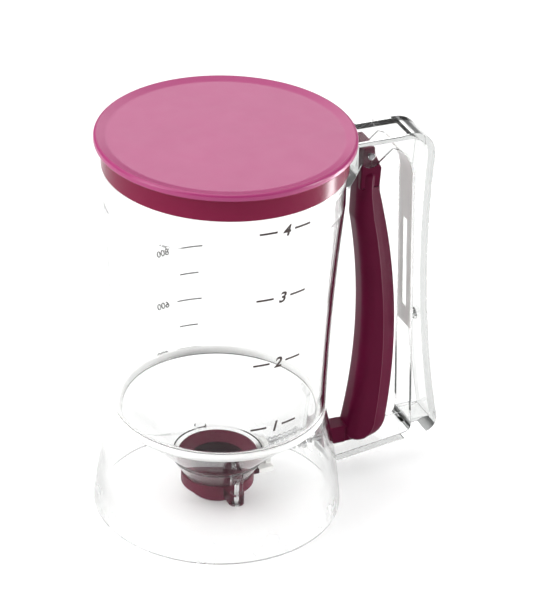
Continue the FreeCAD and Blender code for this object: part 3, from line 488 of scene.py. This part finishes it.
def body_profile():
    """Half section of jug and foot, which are welded into one clear wall: neck, shoulder,
    waisted wall, funnel floor, valve neck and flared foot."""
    corners = [(49.45, 176.25), (47.35, 176.25), (47.35, 164.3), (48.8, 161.3),
               (48.8, 150.0), (44.3, 51.1), (18.15, 24.0), (13.15, 15.05), (15.35, 15.05),
               (20.35, 23.0), (20.35, 24.0), (43.95, 47.7), (foot_wall(WINDOW_HIGH, True),
               WINDOW_HIGH), (foot_wall(WINDOW_LOW, True), WINDOW_LOW), (FOOT_INNER[1], 0.0),
               (FOOT_OUTER[1], 0.0), (foot_wall(WINDOW_LOW, False), WINDOW_LOW),
               (foot_wall(WINDOW_HIGH, False), WINDOW_HIGH),
               (FOOT_OUTER[0], WAIST_HEIGHT),
               (50.95, 150.0), (50.95, 165.75), (49.45, 165.75)]
    rounds = [0.9, 0.9, 3.0, 6.0, 30.0, 3.2, 1.2, 0.3, 0.4, 0.6, 0.6, 0.6, 0, 0, 0.5, 0.8,
              0, 0, 2.2, 30.0, 0.7, 0.7]
    profile = spread(distinct(softened(corners, rounds, 9)), 2.6)
    profile = bowed(profile, WAIST_HEIGHT, SHOULDER_START, -JUG_BOW)
    foot = profile[:, 0] > 30.0 + 0.28 * profile[:, 1]  # the foot's points, not the funnel's
    return np.where(foot[:, None], bowed(profile, 0.0, WAIST_HEIGHT, FOOT_BOW), profile)


def foot_wall(height, inner):
    """Reach of the foot's straight chord at a height, before its bow."""
    top, foot = FOOT_INNER if inner else FOOT_OUTER
    return top + (foot - top) * (WAIST_HEIGHT - height) / WAIST_HEIGHT


def make_jug():
    """Jug and foot in one turned wall, with the tongue's window: the foot's outer and inner
    quads in the window go and its two edges are joined. A milky weld band lies in the wall
    at the waist. Screw posts and the pull rod's bracket stand below the funnel."""
    profile = body_profile()
    aside = math.radians(6.0)
    window = np.linspace(-aside, aside, 9)
    rest = np.linspace(aside, 2.0 * math.pi - aside, TURN_STEPS - 6)[1:-1]
    points, quads = turned(profile, np.concatenate([window, rest]))
    columns = len(window) + len(rest)
    reach, height = profile[:, 0], profile[:, 1]
    inside = (height > WINDOW_LOW - 1e-3) & (height < WINDOW_HIGH + 1e-3) & (reach > 46.0)
    low = np.clip(height, 0.0, WAIST_HEIGHT)
    middle = (foot_wall(low, True) + foot_wall(low, False)) / 2.0
    middle = middle + low * (WAIST_HEIGHT - low) / (2.0 * FOOT_BOW)
    outer = np.flatnonzero(inside & (reach > middle))
    inner = np.flatnonzero(inside & (reach < middle))
    keep = np.ones(quads.shape[:2], bool)
    keep[np.ix_(outer[:-1], range(len(window) - 1))] = False
    keep[np.ix_(inner[:-1], range(len(window) - 1))] = False
    outer = outer[np.argsort(height[outer])]
    inner = inner[np.argsort(height[inner])]
    across = np.arange(len(window))

    def edge_loop(rows):
        return np.concatenate([
            rows[0] * columns + across[:-1], rows[:-1] * columns + across[-1],
            rows[-1] * columns + across[:0:-1], rows[:0:-1] * columns + across[0]])

    near, far = edge_loop(outer), edge_loop(inner)
    joint = np.stack([near, np.roll(near, -1), np.roll(far, -1), far], axis=1)
    jug = make_piece("jug_and_foot", points, quads[keep].tolist() + joint.tolist(),
                     crease=50.0)
    dress(jug, "jug", JUG_CLEAR, ["container", "base_skirt"])
    bead = np.linspace(0.0, 2.0 * math.pi, 20, endpoint=False)
    points, faces = turned(np.stack([44.78 + 1.45 * np.cos(bead),
                                     48.75 + 1.85 * np.sin(bead)], axis=1))
    weld = make_piece("waist_weld", points, faces)
    dress(weld, "jug", WELD_WHITE)
    for side, name in ((SCREW_ASIDE, "left"), (-SCREW_ASIDE, "right")):
        post_profile = [(0.0, 24.2), (2.6, 24.2), (2.8, 24.0), (2.8, 15.3), (2.5, 15.05),
                        (1.1, 15.05), (1.05, 15.2), (1.05, 21.0), (0.0, 21.2)]
        points, faces = turned_solid(post_profile)
        post = make_piece(f"valve_post_{name}", points + [0.0, side, 0.0], faces)
        dress(post, "jug", LINK_CLEAR)
    outline = softened([(41.45, 15.9), (43.6, 15.9), (43.6, 46.4), (41.45, 44.6)],
                       [0.5, 0.5, 0.1, 0.1], 5)
    points, faces = slab(outline, 4.6, 0.5)
    bracket = make_piece("rod_bracket", points, faces)
    dress(bracket, "jug", LINK_CLEAR)


# ---------------------------------------------------------------- valve

def make_valve():
    """Funnel ring with a throat darkened as painted shade, sliding gate in the same painted
    shade with a grey lug, slide housing with clear screw ears, drip collar and their two
    screws."""
    ring = softened([(17.95, 23.95), (16.6, 23.95), (11.4, 20.9), (10.2, 16.4),
                     (4.2, 15.05), (12.95, 15.05)], [0.6, 0.8, 1.0, 1.0, 0.3, 0.5])
    points, faces = turned(spread(distinct(ring), 1.5))
    seat = make_piece("valve_funnel_ring", points, faces)
    dress(seat, "jug", VALVE_RED, ["valve_seat"])
    # The throat's inner faces take the painted shade.
    two_materials(seat, THROAT_PAINTED_SHADE, lambda centre, normal: (
        (np.hypot(centre[:, 0], centre[:, 1]) < 11.6 * MM) & (centre[:, 2] > 15.2 * MM)))
    collar = softened([(12.0, 9.75), (4.7, 9.75), (9.4, 4.8), (11.0, 4.8), (12.0, 5.8)],
                      [0.3, 0.4, 0.4, 0.3, 0.5])
    points, faces = turned(spread(distinct(collar), 1.5))
    nozzle = make_piece("drip_collar", points, faces)
    dress(nozzle, "jug", VALVE_RED, ["nozzle"])
    # The gate takes the throat's painted shade; its lug beyond 17 mm takes the grey.
    gate = finished_copy("gate", "sliding_gate", 0.3, split=17.0)
    dress(gate, "valve_slide", THROAT_PAINTED_SHADE, ["gate"])
    two_materials(gate, LUG_GREY_AND_LINER_PAINTED_SHADE, lambda centre, normal: centre[:, 0] > 17.0 * MM)
    housing = finished_copy("gate_guide", "slide_housing", 0.35)
    dress(housing, "jug", VALVE_RED, ["gate_guide"])
    two_materials(housing, LINK_CLEAR, lambda centre, normal: (
        np.abs(centre[:, 1]) > 17.5 * MM))
    head = [(0.0, 8.6), (0.55, 8.6), (0.6, 9.1), (1.1, 8.75), (1.7, 8.95), (1.88, 9.3),
            (1.88, 9.8), (0.95, 9.8), (0.95, 19.4), (0.4, 20.0), (0.0, 20.0)]
    for side, name, stands in ((SCREW_ASIDE, "left", ["guide_screws"]),
                               (-SCREW_ASIDE, "right", ())):
        points, faces = turned_solid(np.array(head)[::-1])
        screw = make_piece(f"housing_screw_{name}", points + [0.0, side, 0.0], faces)
        dress(screw, "jug", STEEL_UPRIGHT, stands)


def make_rod():
    """Pull rod with a chamfered button head, its washer and the return spring's coil:
    y = coil cos(a), z = rod height + coil sin(a), with a growing evenly, while x stands
    nearly still over the first and last three quarters of a turn, the closed ends."""
    rod = [(0.0, 22.15), (1.0, 22.15), (1.25, 22.4), (1.25, 51.9), (1.4, 52.1),
           (2.3, 52.1), (2.5, 52.3), (2.5, 53.4), (2.2, 53.85), (0.0, 53.85)]
    points, faces = turned_solid(np.array(rod), axis="x")
    bar = make_piece("pull_bar", points + [0.0, 0.0, ROD_HEIGHT], faces)
    dress(bar, "valve_slide", STEEL, ["pull_rod"])
    washer = softened([(3.6, 41.35), (1.35, 41.35), (1.35, 40.62), (3.6, 40.62)],
                      [0.2, 0.1, 0.1, 0.2], 4)
    points, faces = turned(distinct(washer), np.linspace(0, 2 * math.pi, 48, endpoint=False))
    disc = make_piece("spring_washer", points[:, [2, 0, 1]] + [0.0, 0.0, ROD_HEIGHT], faces)
    dress(disc, "jug", STEEL, ["rod_washer"])
    turns, low, high, coil, wire = 6.5, 24.45, 40.2, 2.6, 0.38
    share = np.linspace(0.0, 1.0, 420)
    dead = 0.75 / turns
    closed = np.clip((share - dead) / (1.0 - 2.0 * dead), 0.0, 1.0)
    along = low + 0.42 + closed * (high - low - 0.84 - 1.6) + 0.8 * (
        np.clip(share / dead, 0, 1) + np.clip((share - 1.0 + dead) / dead, 0, 1))
    angle = 2.0 * math.pi * turns * share
    path = np.stack([along, coil * np.cos(angle), ROD_HEIGHT + coil * np.sin(angle)], axis=1)
    points, faces = tube(path, wire)
    spring = make_piece("return_coil", points, faces, crease=60.0)
    dress(spring, "jug", STEEL, ["return_spring"])
    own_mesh(spring)


# ---------------------------------------------------------------- trigger

def finger_side(height):
    """Reach of the trigger's finger side: an arc of 270 mm between two heights, and a
    straight lean above it."""
    level = np.clip(height, 22.0, 130.0) - 76.0
    bow = np.sqrt(270.0 ** 2 - level ** 2) - math.sqrt(270.0 ** 2 - 54.0 ** 2)
    toe = np.clip((22.0 - height) / 4.8, 0.0, 1.0)
    return 59.6 + bow + np.clip(height - 130.0, 0.0, None) * 0.0177 + 2.2 * toe ** 1.6


def grip_side(height):
    """Reach of the trigger's outer side: an arc of 290 mm, rounded into the sole by the
    quarter circle of the heel."""
    low, high = np.array([79.3, 27.0]), np.array([70.2, 142.0])
    share = np.clip((height - low[1]) / (high[1] - low[1]), 0.0, 1.0)
    bow = 4.0 * 5.74 * share * (1.0 - share)
    heel = np.clip((27.0 - height) / 9.8, 0.0, 1.0)
    round_heel = 8.6 * (1.0 - np.sqrt(1.0 - heel ** 2))
    waist = -0.35 * np.exp(-((height - 146.5) / 3.0) ** 2)
    return low[0] + (high[0] - low[0]) * share + bow - round_heel + waist


def make_trigger():
    """Bowed lever lofted from rounded sections. Each section has a broad finger side, flat
    flanks that end in a crisp crease, a long chamfer and a narrow back. Five bays are cored
    out of the back: a bay's quads go, and their edge is joined to the bay's floor."""
    bay_low, bay_pitch, bay_height, bay_count = 36.0, 19.2, 17.0, 5
    bays = (bay_low + np.arange(bay_count)[:, None] * bay_pitch
            + np.array([[0.0, bay_height]]))
    sole, crown, inset, crown_round = 17.2, 152.6, 2.6, 2.0
    heights = np.unique(np.round(np.concatenate([
        sole + inset * (1 - np.cos(np.linspace(0, math.pi / 2, 8))),
        np.linspace(sole + inset, bay_low, 12), bays.ravel(),
        np.linspace(bay_low, 150.6, 70),
        crown - crown_round * (1 - np.sin(np.linspace(0.0, math.pi / 2, 7)))]), 3))
    low_cut = np.clip((sole + inset - heights) / inset, 0.0, 1.0)
    top_cut = np.clip((heights - (crown - crown_round)) / crown_round, 0.0, 1.0)
    shrink = (inset * (1 - np.sqrt(np.clip(1 - low_cut ** 2, 0, 1)))
              + 1.4 * (1 - np.sqrt(np.clip(1 - top_cut ** 2, 0, 1))))
    front, back = finger_side(heights) + shrink * 0.8, grip_side(heights) - shrink
    half = 7.0 - shrink
    slope = np.clip((back - front) / 15.0, 0.55, 1.0)
    crease, deep = 6.4 * slope, 3.1 * slope
    zero = np.zeros_like(heights)
    right = np.stack([
        np.stack([front, zero + 0.01], -1), np.stack([front, half], -1),
        np.stack([back - crease - 0.5, half], -1),
        np.stack([back - crease, half - 0.45], -1),
        np.stack([back, half - deep], -1), np.stack([back, zero + 2.4], -1)], axis=1)
    left = right[:, ::-1] * [1.0, -1.0]
    corners = np.concatenate([right, left], axis=1)
    rounds = np.array([0.004, 5.4, 0.25, 0.5, 1.0, 0.004])
    rounds = np.concatenate([rounds, rounds[::-1]])[None] * np.ones((len(heights), 1))
    rounds[:, [1, 10]] = np.minimum(rounds[:, [1, 10]], (half - 1.0)[:, None] * 0.8)
    loops = softened(corners, rounds, ROUND_STEPS)
    columns = loops.shape[1]
    points = np.concatenate([loops, np.broadcast_to(heights[:, None, None],
                                                    (*loops.shape[:2], 1))], axis=-1)
    quads = loop_quads(len(heights), columns)[:-1]
    keep = np.ones(quads.shape[:2], bool)
    first, last = 6 * ROUND_STEPS - ROUND_STEPS // 2 - 1, 6 * ROUND_STEPS + ROUND_STEPS // 2
    vertices, extra = [points.reshape(-1, 3)], []
    total = len(vertices[0])
    for low, high in bays:
        rows = np.flatnonzero((heights >= low - 1e-3) & (heights <= high + 1e-3))
        keep[np.ix_(rows[:-1], np.arange(first, last))] = False
        edge = np.concatenate([
            rows[0] * columns + np.arange(first, last), rows[:-1] * columns + last,
            rows[-1] * columns + np.arange(last, first, -1),
            rows[:0:-1] * columns + first])
        rim = vertices[0][edge]
        floor = rim.copy()
        floor[:, 0] = finger_side(rim[:, 2]) + 5.0
        count = len(edge)
        own = total + np.arange(count)
        vertices.append(floor)
        extra += np.stack([edge, np.roll(edge, -1), np.roll(own, -1), own], 1).tolist()
        extra.append(own.tolist())
        total += count
    faces = quads[keep].tolist() + extra
    faces.append(np.arange(columns)[::-1].tolist())
    faces.append(((len(heights) - 1) * columns + np.arange(columns)).tolist())
    lever = make_piece("trigger_lever", np.vstack(vertices), faces, crease=34.0)
    dress(lever, "trigger", TRIGGER_RED, ["trigger"])
    head_outline = softened([
        (60.1, 145.0), (69.3, 145.0), (69.75, 154.2), (66.1, 161.6), (65.7, 165.35),
        (60.8, 165.35), (60.1, 160.4)], [0.4, 0.4, 1.6, 1.6, 0.9, 0.9, 1.2])
    points, faces = slab(distinct(head_outline), 6.2, 0.7)
    head = make_piece("trigger_head", points, faces)
    dress(head, "trigger", TRIGGER_RED)
    tongue = finished_copy("trigger", "rod_fork", 0.3, keep=(59.5, 27.0))
    dress(tongue, "trigger", TRIGGER_RED)
    points, faces = blocks((59.3, -4.15, 17.25), (64.0, 4.15, 25.35))
    root = make_piece("fork_root", points, faces, crease=30.0, bevel=0.4)
    dress(root, "trigger", TRIGGER_RED)
    pin = [(0.0, -8.65), (1.15, -8.65), (1.48, -8.35), (1.48, 8.35), (1.15, 8.65), (0.0, 8.65)]
    points, faces = turned_solid(np.array(pin))
    points = points[:, [0, 2, 1]] + [PIVOT[0], 0.0, PIVOT[1]]
    dress(make_piece("pivot_pin", points, faces), "jug", STEEL_DULL, ["trigger_pin"])


# ---------------------------------------------------------------- handle and grip liner

def make_handle():
    """Channel handle and its slotted liner strip, with a small screw at the strip's foot. The
    strip's grey is painted shade of the channel's floor.
    The strip follows the channel's floor, then the arc of the crook: x = cx + r cos(a),
    z = cz + r sin(a). The handle's pivot ears are of a thinner-looking clear plastic."""
    handle = finished_copy("handle", "channel_handle", 0.55)
    dress(handle, "jug", HANDLE_CLEAR, ["handle"])
    two_materials(handle, LINK_CLEAR, lambda centre, normal: (
        (centre[:, 0] < 70.0 * MM) & (centre[:, 2] > 153.0 * MM)))
    strip_foot, straight_top = 71.0, 144.2
    crook, crook_radius = (65.0, 146.5), 20.12
    run = np.concatenate([np.linspace(strip_foot, SLOT_LOW, 4),
                          np.linspace(SLOT_LOW, SLOT_HIGH, 12)[1:],
                          np.linspace(SLOT_HIGH, straight_top, 6)[1:]])
    turn = np.radians(np.linspace(-5.0, 53.0, 16))
    path = np.concatenate([
        np.stack([89.6 - 5.2 * (run - 22.0) / 122.5 + 0.62, run], axis=1),
        np.stack([crook[0] + crook_radius * np.cos(turn),
                  crook[1] + crook_radius * np.sin(turn)], axis=1)])
    across = np.array([-6.33, -4.2, -2.0, 0.0, 2.0, 4.2, 6.33])
    points = np.stack([path[:, :1] + 0.0 * across, 0.0 * path[:, :1] + across,
                       path[:, 1:] + 0.0 * across], axis=-1)
    quads = loop_quads(len(path), len(across))[:-1, :-1]
    level = (path[:-1, 1] + path[1:, 1]) / 2.0
    slot = (level > SLOT_LOW) & (level < SLOT_HIGH)
    keep = np.ones(quads.shape[:2], bool)
    keep[np.ix_(slot, [2, 3])] = False
    liner = make_piece("grip_strip", points.reshape(-1, 3), quads[keep], crease=30.0)
    thick = liner.modifiers.new("strip", "SOLIDIFY")
    thick.thickness, thick.offset = 0.0008, -1.0
    soften = liner.modifiers.new("strip_edges", "BEVEL")
    soften.width, soften.segments, soften.limit_method = 0.00025, 2, "ANGLE"
    # Grey strip: painted shade of the channel's floor.
    dress(liner, "jug", LUG_GREY_AND_LINER_PAINTED_SHADE, ["grip_liner"])
    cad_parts["liner_screw"].data.materials.clear()
    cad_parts["liner_screw"].data.materials.append(STEEL)


# ---------------------------------------------------------------- printed scales

def wall_reach(height):
    """The jug's outer radius at a height: straight from waist to shoulder, less the bow."""
    share = np.clip(height, WAIST_HEIGHT, SHOULDER_START)
    straight = WAIST_REACH + (SHOULDER_REACH - WAIST_REACH) * (share - WAIST_HEIGHT) / (
        SHOULDER_START - WAIST_HEIGHT)
    return straight - (share - WAIST_HEIGHT) * (SHOULDER_START - share) / (2.0 * JUG_BOW)


def on_wall(across, up, level, middle):
    """Flat print laid on the wall: angle = middle + across / radius, height = level + up."""
    reach = wall_reach(level + up)
    angle = math.radians(middle) + across / reach
    return reach, angle, level + up


def tick(across_low, across_high, level, middle, thick=0.92):
    """A scale line: a strip along the wall in even steps."""
    steps = 24
    row = steps + 1
    run = np.linspace(across_low, across_high, row)
    rim = np.stack([np.tile(run, 2), np.repeat([-thick / 2, thick / 2], row)], axis=1)
    here = np.arange(steps)
    quads = np.stack([here, here + 1, here + row + 1, here + row], axis=1)
    return rim, quads, level, middle


def digits(text, size, centre, level, middle):
    """Plain leaning digits as flat faces, cap height = size, centred across."""
    curve = bpy.data.curves.new("digits", "FONT")
    curve.body = text
    curve.size = size / 0.72
    curve.align_x = "CENTER"
    curve.resolution_u = 6
    curve.offset = 0.040 * size
    curve.shear = 0.22
    carrier = bpy.data.objects.new("digits", curve)
    bpy.context.collection.objects.link(carrier)
    graph = bpy.context.evaluated_depsgraph_get()
    mesh = bpy.data.meshes.new_from_object(carrier.evaluated_get(graph))
    points = np.empty(len(mesh.vertices) * 3)
    mesh.vertices.foreach_get("co", points)
    points = points.reshape(-1, 3)
    faces = [list(polygon.vertices) for polygon in mesh.polygons]
    bpy.data.objects.remove(carrier)
    bpy.data.curves.remove(curve)
    flat = points[:, :2] + [centre, -size / 2.0]
    return flat, faces, level, middle


def film(name, parts, material):
    """One printed scale: every mark's faces laid on the wall, x = (r + lift) cos(a),
    y = (r + lift) sin(a), and thickened by Solidify."""
    vertices, faces, total = [], [], 0
    for flat, quads, level, middle in parts:
        reach, angle, height = on_wall(flat[:, 0], flat[:, 1], level, middle)
        reach = reach + PRINT_LIFT
        vertices.append(np.stack([reach * np.cos(angle), reach * np.sin(angle), height], 1))
        faces += [[corner + total for corner in face] for face in
                  (quads.tolist() if isinstance(quads, np.ndarray) else quads)]
        total += len(flat)
    mesh = bpy.data.meshes.new(name)
    mesh.from_pydata((np.vstack(vertices) * MM).tolist(), [], faces)
    piece = bpy.data.objects.new(name, mesh)
    bpy.context.collection.objects.link(piece)
    thick = piece.modifiers.new("film", "SOLIDIFY")
    thick.thickness = PRINT_THICKNESS * MM
    thick.offset = -1.0
    return dress(piece, "jug", material)


def make_scales():
    """Dash, number, dash at four heights on the near side; ticks on the far side."""
    near, middle = [], -82.9
    for number, level in zip("4321", (158.95, 126.9, 94.75, 62.65)):
        reach = float(wall_reach(level))
        for low, high in ((-96.3, -87.5), (-78.4, -69.4)):
            near.append(tick(math.radians(low - middle) * reach,
                             math.radians(high - middle) * reach, level, middle))
        near.append(digits(number, 4.9, 0.0, level, middle))
    film("near_scale_print", near, PRINT_DARK)
    far, middle = [], 86.0
    for index, level in enumerate((100.7, 87.7, 74.6, 61.6, 49.6)):
        reach = float(wall_reach(level))
        low, high = ((78.3, 92.6), (80.3, 91.0))[index % 2]
        far.append(tick(math.radians(low - middle) * reach,
                        math.radians(high - middle) * reach, level, middle, 0.66))
        if index % 2 == 0:
            number = ("800", "600", "400")[index // 2]
            far.append(digits(number, 3.2, math.radians(15.4) * reach, level, middle))
    film("far_scale_print", far, PRINT_GREY)


# ---------------------------------------------------------------- studio

def make_floor():
    """Pale floor, a hair below the foot."""
    floor_mesh = bpy.data.meshes.new("studio_floor")
    size, level = 7.0, -0.0002
    floor_mesh.from_pydata([(-size, -size, level), (size, -size, level),
                            (size, size, level), (-size, size, level)], [],
                           [(0, 1, 2, 3)])
    floor = bpy.data.objects.new("studio_floor", floor_mesh)
    bpy.context.collection.objects.link(floor)
    material, _, principled = shader("pale_studio_floor")
    principled.inputs["Base Color"].default_value = (0.93, 0.93, 0.93, 1.0)
    principled.inputs["Roughness"].default_value = 0.9
    principled.inputs["Specular IOR Level"].default_value = 0.1
    principled.inputs["Emission Color"].default_value = (1.0, 1.0, 1.0, 1.0)
    principled.inputs["Emission Strength"].default_value = 0.03
    floor_mesh.materials.append(material)


def make_world():
    """Soft light from the sky: brighter overhead than at the horizon, and dimmer on the
    viewer's side, by the cosine between a direction and the one towards the viewer."""
    horizon, overhead, viewer_share = 0.20, 0.86, 0.35
    world = bpy.data.worlds.new("soft_studio")
    world.use_nodes = True
    tree = world.node_tree
    background = tree.nodes["Background"]
    place = tree.nodes.new("ShaderNodeTexCoord")
    split = tree.nodes.new("ShaderNodeSeparateXYZ")
    toward = tree.nodes.new("ShaderNodeVectorMath")
    toward.operation = "DOT_PRODUCT"
    toward.inputs[1].default_value = (-0.38, -0.92, 0.0)
    both = tree.nodes.new("ShaderNodeMath")
    both.operation = "MULTIPLY"
    tree.links.new(place.outputs["Generated"], split.inputs[0])
    tree.links.new(place.outputs["Generated"], toward.inputs[0])
    dome = ranged(tree, split.outputs["Z"], horizon, overhead, 0.15, 0.80, smooth=True)
    side = ranged(tree, toward.outputs["Value"], 1.0, viewer_share, 0.0, 0.9, smooth=True)
    tree.links.new(dome, both.inputs[0])
    tree.links.new(side, both.inputs[1])
    tree.links.new(both.outputs["Value"], background.inputs["Strength"])
    background.inputs["Color"].default_value = (1.0, 1.0, 1.0, 1.0)
    bpy.context.scene.world = world


def softbox(name, place, aim, width, height, power):
    """A rectangular light at a place, facing its aim."""
    light = bpy.data.lights.new(name, "AREA")
    light.shape = "RECTANGLE"
    light.size, light.size_y, light.energy = width, height, power
    lamp = bpy.data.objects.new(name, light)
    bpy.context.collection.objects.link(lamp)
    look = (Vector(aim) - Vector(place)).to_track_quat("-Z", "Y")
    lamp.matrix_world = Matrix.Translation(place) @ look.to_matrix().to_4x4()


def make_lights():
    """Three large softboxes, and two strips at the right: one for the jug's side and a low
    one for the light end of the lid's band."""
    softbox("left_softbox", (-1.5, -0.1, 0.8), (0, 0, 0.1), 0.9, 1.3, 19.0)
    softbox("right_strip", (0.62, -0.42, 0.16), (0, 0, 0.14), 0.16, 0.34, 2.6)
    softbox("low_strip", (0.27, -0.03, 0.03), (0.03, -0.043, 0.17), 0.05, 0.10, 0.32)
    softbox("back_softbox", (0.62, 1.45, 1.1), (0, 0, 0.16), 1.0, 0.8, 5.0)
    softbox("top_softbox", (-0.2, 0.2, 1.9), (0, 0, 0.0), 1.6, 1.6, 15.0)


def make_camera():
    """The camera at the photograph's viewing angle: lens = focal length in pixels times the
    sensor's height over the picture's height."""
    sensor, focal_pixels, picture_height = 36.0, 3087.5, 594.0
    camera_data = bpy.data.cameras.new("view")
    camera_data.sensor_fit = "VERTICAL"
    camera_data.sensor_height = sensor
    camera_data.lens = focal_pixels * sensor / picture_height
    camera_data.clip_start, camera_data.clip_end = 0.05, 50.0
    camera = bpy.data.objects.new("view", camera_data)
    bpy.context.collection.objects.link(camera)
    right = Vector((0.91966703, -0.3915635, 0.02984257))
    up = Vector((0.17278148, 0.47171166, 0.8646587))
    back = -Vector((0.35264588, 0.79004186, -0.50147258))
    turn = Matrix((right, up, back)).transposed().to_4x4()
    camera.matrix_world = Matrix.Translation((-0.44541004, -1.0493203, 0.76276)) @ turn
    bpy.context.scene.camera = camera
    bpy.context.scene.view_settings.view_transform = "Standard"


make_floor()
make_world()
make_lights()
make_camera()
make_lid()
make_jug()
make_valve()
make_rod()
make_trigger()
make_handle()
make_scales()
